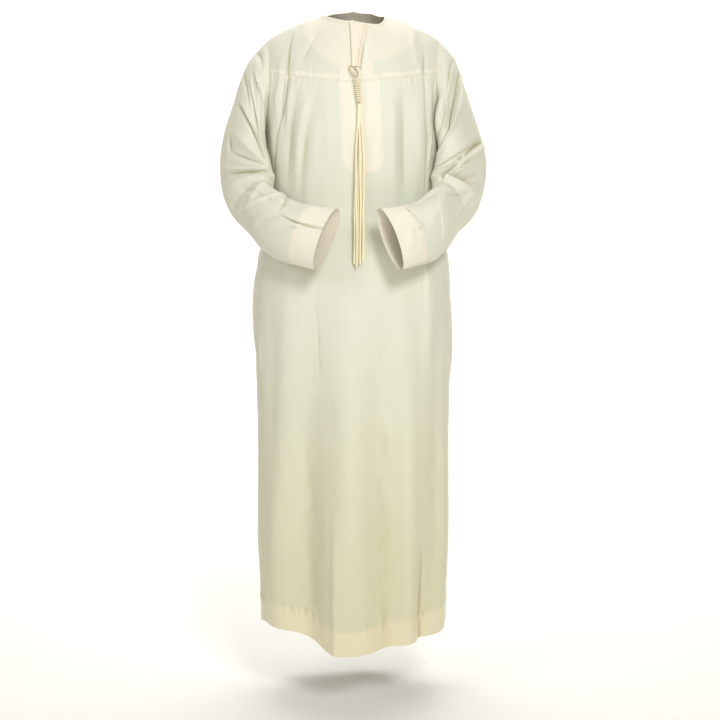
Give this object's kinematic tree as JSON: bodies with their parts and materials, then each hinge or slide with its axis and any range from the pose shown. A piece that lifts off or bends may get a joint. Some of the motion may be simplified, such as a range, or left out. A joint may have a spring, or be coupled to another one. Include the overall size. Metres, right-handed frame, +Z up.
{
  "type": "kandura robe",
  "caption": "Ankle-length collarless robe in its worn form, with long sleeves bent to the front, a bound round neck with a slit placket and a long hanging tassel.",
  "frame": {"origin": "midway between the two points where the shoulder ridge meets the neckline, where the wearer's shoulders hold the robe", "axes": "+Z up, front towards -Y, +X towards the wearer's left"},
  "size_m": [0.604, 0.3953, 1.4421],
  "materials": {
    "cloth": "fine plain-weave polyester, ivory, soft sheen",
    "doubled_cloth": "the same cloth doubled, which reads warmer and denser",
    "cord": "silky twisted cord, pale beige"
  },
  "bodies": {
    "root": {"front_panel": "cloth", "back_panel": "cloth", "yoke": "cloth", "sleeve_left": "cloth", "sleeve_right": "cloth", "neck_facing": "doubled_cloth", "bib_facing": "doubled_cloth", "placket": "doubled_cloth", "neck_binding": "doubled_cloth", "cuff_facing_left": "doubled_cloth", "cuff_facing_right": "doubled_cloth", "hem_facing": "doubled_cloth", "pocket_facing_left": "doubled_cloth", "pocket_facing_right": "doubled_cloth", "tassel_loop": "cord", "tassel": "cord"}
  },
  "joints": []
}
